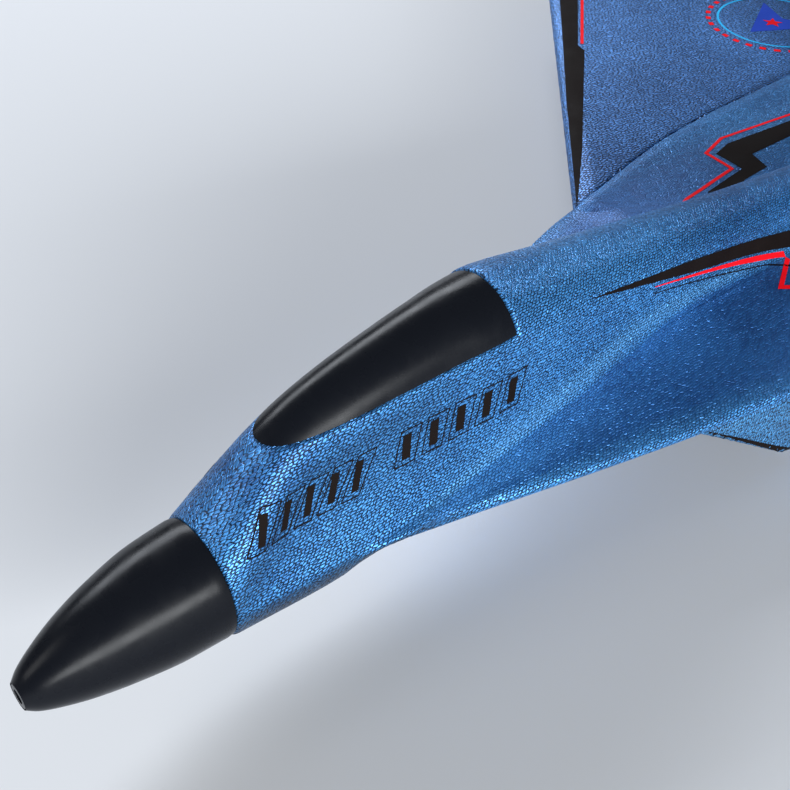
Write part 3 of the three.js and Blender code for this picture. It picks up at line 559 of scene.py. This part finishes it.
def slanted_bars(first, last, low, high, lean, number):
    """Row of slanted outlined bars with a solid core, between two stations."""
    frames, cores = [], []
    pitch = (last - first) / number
    wide = pitch * 0.74
    for k in range(number):
        y = first + pitch * k
        low_edge, high_edge = low + 0.02 * (y - first), high + 0.05 * (y - first)
        corners = [(y, low_edge), (y + wide, low_edge), (y + wide + lean, high_edge), (y + lean, high_edge)]
        frames += [stroke([corners[i], corners[(i + 1) % 4]], 0.24) for i in range(4)]
        middle = (sum(c[0] for c in corners) / 4, sum(c[1] for c in corners) / 4)
        cores.append([(middle[0] + (c[0] - middle[0]) * 0.42 - 0.3, middle[1] + (c[1] - middle[1]) * 0.72)
                      for c in corners])
    return frames, cores


for side, mirror in (("left", False), ("right", True)):
    wing = bpy.data.objects["wing_" + side + "_foam"]
    film("bolt_spike_" + side, [bolt_spike], ink_dark, [body], "side", mirror)
    film("bolt_line_" + side, [stroke(bolt_red_side, [0.15, 0.6, 0.9, 1.05])], ink_red, [body],
         "side", mirror)
    film("bolt_dark_" + side, [bolt_dark], ink_dark, [body, wing], "top", mirror)
    film("bolt_red_" + side, [stroke(bolt_red, bolt_red_wide)], ink_red, [body, wing], "top",
         mirror)
    film("edge_dark_" + side, [stripe_dark], ink_dark, [body, wing], "top", mirror)
    film("edge_red_" + side, [stroke(stripe_red, 0.95)], ink_red, [wing], "top", mirror)
    trim = stroke(beside(bolt_red_side, -1.5), 0.2)
    film("bolt_trim_" + side, [trim], ink_dark, [body], "side", mirror)
    lip = [(97.6, -3.2), (100.2, -3.2), (129.9, -22.2), (127.4, -22.6)]
    film("lip_band_" + side, [lip], ink_dark, [pan], "side", mirror)
    ticks = [ring(emblem, 21, 1.5, a, a + 5.5, 3) for a in range(0, 360, 12)]
    film("emblem_ticks_" + side, ticks, ink_red, [wing], "top", mirror)
    film("emblem_ring_" + side, [ring(emblem, 17.6, 0.7, a, a + 90, 16) for a in range(0, 360, 90)], ink_sky,
         [wing], "top", mirror)
    x, y = emblem
    arrow = [[(x, y - 12), (x + 11, y + 9), (x, y + 4), (x - 11, y + 9)]]
    film("emblem_arrow_" + side, arrow, ink_blue, [wing], "top", mirror)
    star = [[(x + 3.2 * math.sin(math.pi * k / 5) * (1 if k % 2 == 0 else 0.42),
              y - 1 - 3.2 * math.cos(math.pi * k / 5) * (1 if k % 2 == 0 else 0.42)) for k in range(10)]]
    film("emblem_star_" + side, star, ink_red, [wing], "top", mirror, film_lift * 2)
    frames, cores = [], []
    for first, last, low, high, lean in ((4.2, 29.0, 9.7, 16.9, 5.2), (35.6, 66.0, 11.7, 18.4, 2.6)):
        made = slanted_bars(first, last, low, high, lean, 5)
        frames += made[0]
        cores += made[1]
    film("bar_frames_" + side, frames, ink_dark, [body], "side", mirror)
    film("bar_cores_" + side, cores, ink_dark, [body], "side", mirror)

# ---------------------------------------------------------------- motor mounts and nozzles
# Fine-textured black mouldings: a tube glued in each pod holds the motor, and a ribbed collar
# slides over it and closes the end of the foam.


def turned(name, profile, centre, count=72, flutes=0, deep=0.0, sharp=30):
    """Part turned about a line along Y: closed profile of (radius, station) points."""
    x, z = centre
    points, faces = [], []
    for r, y in profile:
        for k in range(count):
            turn = 2 * math.pi * k / count
            dip = 1 - deep * max(0.0, math.cos(turn * flutes)) ** 6 if flutes and r > 6.5 else 1
            points.append((x + r * dip * math.sin(turn), y, z + r * dip * math.cos(turn)))
    n = len(profile)
    for i in range(n):
        j = (i + 1) % n
        faces += [(i * count + k, i * count + (k + 1) % count, j * count + (k + 1) % count, j * count + k)
                  for k in range(count)]
    piece = shell(name, points, faces, sharp)
    bm = bmesh.new()
    bm.from_mesh(piece.data)
    bmesh.ops.remove_doubles(bm, verts=bm.verts, dist=0.004 * mm)
    bmesh.ops.recalc_face_normals(bm, faces=bm.faces)
    bm.to_mesh(piece.data)
    bm.free()
    piece.data.set_sharp_from_angle(angle=math.radians(sharp))
    return piece


def plain_recipe(name, colour, rough, metal=0.0, grain=900.0, depth=0.02, spread=0.25, coat=0.0):
    """Material with a cloudy tint, worn shine and a fine texture."""
    r = Recipe(name)
    where = r.place()
    cloud = r.noise(where, grain * 0.18, 4.0)
    fine = r.noise(where, grain, 3.0)
    light = tuple(min(1, v * (1 + spread) + 0.003) for v in colour)
    dull = tuple(v * (1 - spread) for v in colour)
    tint = r.mix(r.ramp(cloud, 0.3, 0.7), (*dull, 1), (*light, 1))
    normal = r.dents(r.math("MULTIPLY_ADD", fine, 0.7, cloud), 0.6, depth * mm)
    return r.set(Color=tint, Roughness=r.ramp(cloud, 0.25, 0.75, rough - 0.06, rough + 0.1), Metallic=metal,
                 Normal=normal, Coat=coat)


moulding = plain_recipe("black_moulding", (0.018, 0.018, 0.02), 0.5, grain=1400.0, depth=0.03)
pods = (("left", 24.5), ("right", -24.5))
pod_height = -2
for side, x in pods:
    tube = [(2, 244), (5.6, 244), (6, 244.4)]
    for y in (270.6, 272.4, 274.2):
        tube += [(6, y), (5.75, y + 0.2), (5.75, y + 0.8), (6, y + 1)]
    tube += [(6, 275.4), (5.2, 278.7), (4.9, 279), (4.25, 279), (4.2, 278.8), (4.2, 258.8), (2, 258.8)]
    fit(turned("mount_" + side, tube, (x, pod_height)), "motor_mount_" + side, moulding)
    collar = [(6.2, 262.3), (9.35, 262.3), (9.6, 262.55), (9.6, 263.7), (9.45, 263.9), (9.0, 265.6),
              (8.45, 268.2), (7.95, 270.9), (7.75, 271.3), (7.0, 271.3), (6.8, 271.1), (6.2, 269.3)]
    fit(turned("nozzle_ring_" + side, collar, (x, pod_height), 144, 18, 0.035), "nozzle_" + side, moulding)

# ---------------------------------------------------------------- motors and shafts
# Small drawn-steel cans with a crimped end cap, pushed into the mounts.
# Each shaft is a ground steel rod that carries its propeller.
can = plain_recipe("motor_can", (0.56, 0.57, 0.58), 0.3, 1.0, 500.0, 0.01, 0.12)
steel = plain_recipe("bright_steel", (0.6, 0.61, 0.62), 0.22, 1.0, 1200.0, 0.006, 0.1)
for side, x in pods:
    case = [(0, 259), (3.7, 259), (4, 259.3), (4, 276.6), (3.85, 276.9), (3.85, 277.3), (3.5, 277.5),
            (3.5, 278.7), (3.3, 279), (2.3, 279), (2.2, 278.7), (1.5, 278.7), (1.2, 279), (1.2, 280.1),
            (1.1, 280.2), (0.56, 280.2), (0.56, 276), (0, 276)]
    fit(turned("motor_case_" + side, case, (x, pod_height)), "motor_" + side, can)
    rod = [(0, 276.4), (0.42, 276.4), (0.5, 276.5), (0.5, 290.85), (0.4, 291), (0, 291)]
    fit(turned("shaft_rod_" + side, rod, (x, pod_height), 32), "motor_shaft_" + side, steel)

# ---------------------------------------------------------------- propellers
# Two-blade propellers moulded in one piece with a domed hub, in black plastic, thin at the tips.
# They are pressed on the shafts and turn opposite ways, so the right one is the mirror of the left.
blade_plastic = plain_recipe("propeller_plastic", (0.014, 0.014, 0.016), 0.32, grain=260.0, depth=0.02,
                             coat=0.2)
prop_station, prop_radius = 287, 18.5
blade_chord = flowing([(0, 3), (0.16, 4), (0.45, 7.4), (0.75, 6.6), (0.93, 4.4), (1, 2)])
for side, x in pods:
    hand = 1 if x > 0 else -1
    hub = turned("prop_hub_" + side, [
        (0.53, 284.2), (0.8, 284), (2.2, 284), (2.4, 284.2), (2.4, 288.4), (2.3, 288.9), (1.9, 290.2),
        (1.4, 291), (1.1, 291.35), (0.7, 291.4), (0.53, 291.3),
    ], (x, pod_height), 48)
    points, faces = [], []
    outline = []
    for k in range(24):
        turn = 2 * math.pi * k / 24
        c, t = math.cos(turn), math.sin(turn)
        bulge = 0.85 if t > 0 else 0.62
        outline.append((c, bulge * t * (1 - 0.25 * c) * math.sqrt(max(0.0, 1 - 0.2 * c * c))))
    spans = [0.07 + 0.93 * k / 40 for k in range(41)]
    for flip in (1, -1):
        start = len(points)
        for s in spans:
            pitch = math.radians(48 + (20 - 48) * s)
            tip = math.sqrt(max(0.02, 1 - max(0.0, (s - 0.9) / 0.1) ** 2))
            half, thick = blade_chord(s) / 2 * tip * 0.985, (1.32 - 0.55 * s) * 0.5 * (0.4 + 0.6 * tip)
            for c, t in outline:
                a, b = c * half, t * thick
                along_y = prop_station + a * math.sin(pitch) + b * math.cos(pitch)
                up_z = a * math.cos(pitch) - b * math.sin(pitch)
                points.append((x + hand * flip * s * (prop_radius - 0.05), along_y, pod_height + flip * up_z))
        for i in range(len(spans) - 1):
            faces += [(start + i * 24 + k, start + i * 24 + (k + 1) % 24, start + (i + 1) * 24 + (k + 1) % 24,
                       start + (i + 1) * 24 + k) for k in range(24)]
        faces.append(tuple(start + k for k in range(24)))
        faces.append(tuple(start + (len(spans) - 1) * 24 + k for k in range(24)))
    blades = shell("prop_blades_" + side, points, faces, 50)
    bm = bmesh.new()
    bm.from_mesh(blades.data)
    bm.from_mesh(hub.data)
    bmesh.ops.recalc_face_normals(bm, faces=bm.faces)
    bm.to_mesh(blades.data)
    bm.free()
    bpy.data.objects.remove(hub)
    blades.data.set_sharp_from_angle(angle=math.radians(45))
    fit(blades, "propeller_" + side, blade_plastic)

# ---------------------------------------------------------------- magnets and spar
# A pair of plated disc magnets, glued in, holds the canopy down.
# A round fibre rod is glued across the body and joins the two wings.
for node, start in (("canopy_magnet", 61.8), ("deck_magnet", 65.6)):
    end = start + 1.5
    disc = [(0, start), (2.2, start), (2.4, start + 0.2), (2.4, end - 0.2), (2.2, end), (0, end)]
    fit(turned(node + "_disc", disc, (0, 29.6), 48), node, steel)

r = Recipe("spar_rod")
weave = r.add("TexWave", {"Vector": r.place((3000, 3000, 3000)), "Scale": 0.6, "Distortion": 2.0})
tint = r.mix(weave.outputs["Fac"], (0.008, 0.008, 0.009, 1), (0.03, 0.03, 0.032, 1))
rod_fibre = r.set(Color=tint, Roughness=0.32, Normal=r.dents(weave.outputs["Fac"], 0.4, 0.02 * mm), Coat=0.3)
ends = [(-88, 1.1), (-87.8, 1.25), (87.8, 1.25), (88, 1.1)]
points = [(x, 200 + rad * math.sin(2 * math.pi * k / 32), -1.4 + rad * math.cos(2 * math.pi * k / 32))
          for x, rad in ends for k in range(32)]
spar = shell("spar", points, ring_faces(4, 32) + [tuple(range(32)), tuple(range(96, 128))[::-1]], 30)
fit(spar, "wing_spar", rod_fibre)

# ---------------------------------------------------------------- battery
# Flat lithium cell in blue shrink film with rounded pouch edges and a band of tape at the lead end.
# It lies loose in the bay under the canopy.


def brick(name, low, high, soft, steps=3):
    """Block with rounded edges, given by its low and high corners in millimetres."""
    bm = bmesh.new()
    bmesh.ops.create_cube(bm, size=1)
    for v in bm.verts:
        v.co = Vector([(low[k] + high[k]) / 2 + v.co[k] * (high[k] - low[k]) for k in range(3)])
    if soft:
        bmesh.ops.bevel(bm, geom=bm.edges[:], offset=soft, segments=steps, profile=0.5, affect="EDGES")
    mesh = bpy.data.meshes.new(name)
    for v in bm.verts:
        v.co = Vector((v.co.x * mm, v.co.y * mm + nose_seam, v.co.z * mm + belly_depth))
    bm.to_mesh(mesh)
    bm.free()
    mesh.polygons.foreach_set("use_smooth", [True] * len(mesh.polygons))
    mesh.set_sharp_from_angle(angle=math.radians(40))
    piece = bpy.data.objects.new(name, mesh)
    bpy.context.scene.collection.objects.link(piece)
    return piece


def joined(name, pieces, materials):
    """One object from several, each keeping its own material."""
    bm = bmesh.new()
    mesh = bpy.data.meshes.new(name)
    for k, (piece, material) in enumerate(zip(pieces, materials)):
        first = len(bm.faces)
        bm.from_mesh(piece.data)
        bm.faces.ensure_lookup_table()
        if material.name not in mesh.materials:
            mesh.materials.append(material)
        for face in bm.faces[first:]:
            face.material_index = mesh.materials.find(material.name)
        bpy.data.objects.remove(piece)
    bm.to_mesh(mesh)
    bm.free()
    mesh.set_sharp_from_angle(angle=math.radians(40))
    whole = bpy.data.objects.new(name, mesh)
    bpy.context.scene.collection.objects.link(whole)
    return whole


wrap = plain_recipe("battery_wrap", (0.02, 0.09, 0.42), 0.28, grain=420.0, depth=0.05, spread=0.15, coat=0.4)
tape = plain_recipe("battery_tape", (0.62, 0.42, 0.06), 0.34, grain=700.0, depth=0.03, spread=0.1, coat=0.2)
cell = brick("cell", (-5.5, 29, -7.7), (5.5, 60, 0.3), 1.5, 5)
band = brick("band", (-5.49, 55.2, -7.69), (5.49, 58.2, 0.29), 1.45, 5)
fit(joined("battery_pack", [cell, band], [wrap, tape]), "battery", None)

# ---------------------------------------------------------------- receiver board
# Green board with the radio chip, crystal, two transistors, the battery socket and solder joints.
# It lies in the tunnel behind the battery bay.
mask = plain_recipe("circuit_board", (0.012, 0.11, 0.035), 0.38, grain=1500.0, depth=0.02, spread=0.3,
                    coat=0.3)
chip_black = plain_recipe("chip_black", (0.02, 0.02, 0.021), 0.5, grain=1800.0, depth=0.015)
cream = plain_recipe("socket_cream", (0.75, 0.71, 0.6), 0.42, grain=1200.0, depth=0.015, spread=0.06)
solder = plain_recipe("solder", (0.55, 0.56, 0.57), 0.28, 1.0, 1500.0, 0.02, 0.1)
top = -6.5
parts = [brick("slab", (-5.6, 67, -7.7), (5.6, 88, top), 0.12, 1),
         brick("chip", (-4.5, 69, top), (1.5, 75, top + 0.98), 0.1, 1),
         brick("crystal", (3, 70, top), (5.6, 74, top + 0.88), 0.3, 2),
         brick("socket", (-3.2, 67, top), (3.2, 68.6, top + 2.95), 0.2, 2)]
finish = [mask, chip_black, solder, cream]
for x in (-3.6, 1.4):
    parts.append(brick("transistor", (x, 79, top), (x + 2.4, 82, top + 0.88), 0.15, 2))
    finish.append(chip_black)
for k in range(7):
    for y in (68.62, 75.0):
        parts.append(brick("leg", (-4.1 + 0.8 * k, y, top), (-3.75 + 0.8 * k, y + 0.36, top + 0.35), 0.06, 1))
        finish.append(solder)
for k in range(6):
    for y in (77.2, 84.2):
        parts.append(brick("small", (-4.6 + 1.5 * k, y, top), (-3.8 + 1.5 * k, y + 0.5, top + 0.4), 0.06, 1))
        finish.append(cream if k % 2 else chip_black)
fit(joined("radio_board", parts, finish), "receiver_board", None)

# ---------------------------------------------------------------- leads
# Soft red silicone leads: one from the battery to the board and one to each motor.
# They are laid in channels in the underside of the body.
insulation = plain_recipe("lead_insulation", (0.42, 0.012, 0.012), 0.42, grain=800.0, depth=0.02, spread=0.12)
for node in ("battery_lead", "motor_lead_left", "motor_lead_right"):
    lead = moulded(node, 0.16 * mm, 4)
    fit(lead, node, insulation)

# ---------------------------------------------------------------- power switch
# Slide switch let into the belly: a black moulded body with a slot.
# A ribbed plastic knob travels along the slot.
fit(moulded("switch_body", 0.12 * mm, 2), "switch_body", moulding)
knob_plastic = plain_recipe("slider_plastic", (0.03, 0.03, 0.032), 0.44, grain=1500.0, depth=0.02)
low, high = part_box("switch_slider")
low = [low[0] / mm, (low[1] - nose_seam) / mm, (low[2] - belly_depth) / mm]
high = [high[0] / mm, (high[1] - nose_seam) / mm, (high[2] - belly_depth) / mm]
knob = [brick("knob", (low[0], low[1], low[2] + 0.25), high, 0.12, 2)]
for k in range(4):
    y = low[1] + 0.1 + 0.5 * k
    knob.append(brick("rib", (low[0] + 0.05, y, low[2]), (high[0] - 0.05, y + 0.25, low[2] + 0.5), 0.05, 1))
fit(joined("switch_knob", knob, [knob_plastic] * 5), "switch_slider", None)

# ---------------------------------------------------------------- floor, light and camera
# A matt pale sheet under three soft boxes, seen from ahead of the left wing and above.
# None of this belongs to the jet.
floor_mesh = bpy.data.meshes.new("floor")
size = 3.0
corners = [(-size, -size, 0), (size, -size, 0), (size, size, 0), (-size, size, 0)]
floor_mesh.from_pydata(corners, [], [(0, 1, 2, 3)])
floor = bpy.data.objects.new("floor", floor_mesh)
bpy.context.scene.collection.objects.link(floor)
r = Recipe("pale_sheet")
floor.data.materials.append(r.set(Color=(0.72, 0.73, 0.75, 1), Roughness=0.85))

world = bpy.data.worlds.new("studio")
bpy.context.scene.world = world
world.use_nodes = True
world.node_tree.nodes["Background"].inputs["Color"].default_value = (0.8, 0.85, 0.95, 1)
world.node_tree.nodes["Background"].inputs["Strength"].default_value = 0.08


def soft_box(name, place, aim, size, power, colour=(1, 1, 1)):
    light = bpy.data.lights.new(name, "AREA")
    light.shape = "RECTANGLE"
    light.size, light.size_y = size
    light.energy = power
    light.color = colour
    lamp = bpy.data.objects.new(name, light)
    lamp.location = place
    lamp.rotation_euler = (Vector(aim) - Vector(place)).to_track_quat("-Z", "Y").to_euler()
    bpy.context.scene.collection.objects.link(lamp)


centre = (0, -0.08, 0.03)
soft_box("key_left", (1.35, -0.5, 0.45), centre, (1.6, 0.4), 37, (0.95, 0.98, 1))
soft_box("far_left", (-1.3, 0.22, 0.86), centre, (1.6, 0.52), 27, (0.88, 0.93, 1))
soft_box("front", (-0.3, -0.8, 0.5), centre, (0.3, 0.3), 1.0)

azimuth, elevation, roll = math.radians(49.8), math.radians(42.0), math.radians(-0.3)
heading = Vector((-math.sin(azimuth), math.cos(azimuth), 0))
ahead = heading * math.cos(elevation) - Vector((0, 0, math.sin(elevation)))
right = ahead.cross(Vector((0, 0, 1))).normalized()
up = right.cross(ahead)
right, up = (math.cos(roll) * right - math.sin(roll) * up, math.sin(roll) * right + math.cos(roll) * up)
camera = bpy.data.objects.new("camera", bpy.data.cameras.new("camera"))
camera.data.lens = 56.86
camera.data.sensor_width = 36
camera.data.clip_start = 0.01
turn = Matrix((right, up, -ahead)).transposed().to_4x4()
turn.translation = Vector((130.1 * mm, nose_seam - 65.5 * mm, belly_depth + 170.7 * mm))
camera.matrix_world = turn
bpy.context.scene.collection.objects.link(camera)
bpy.context.scene.camera = camera
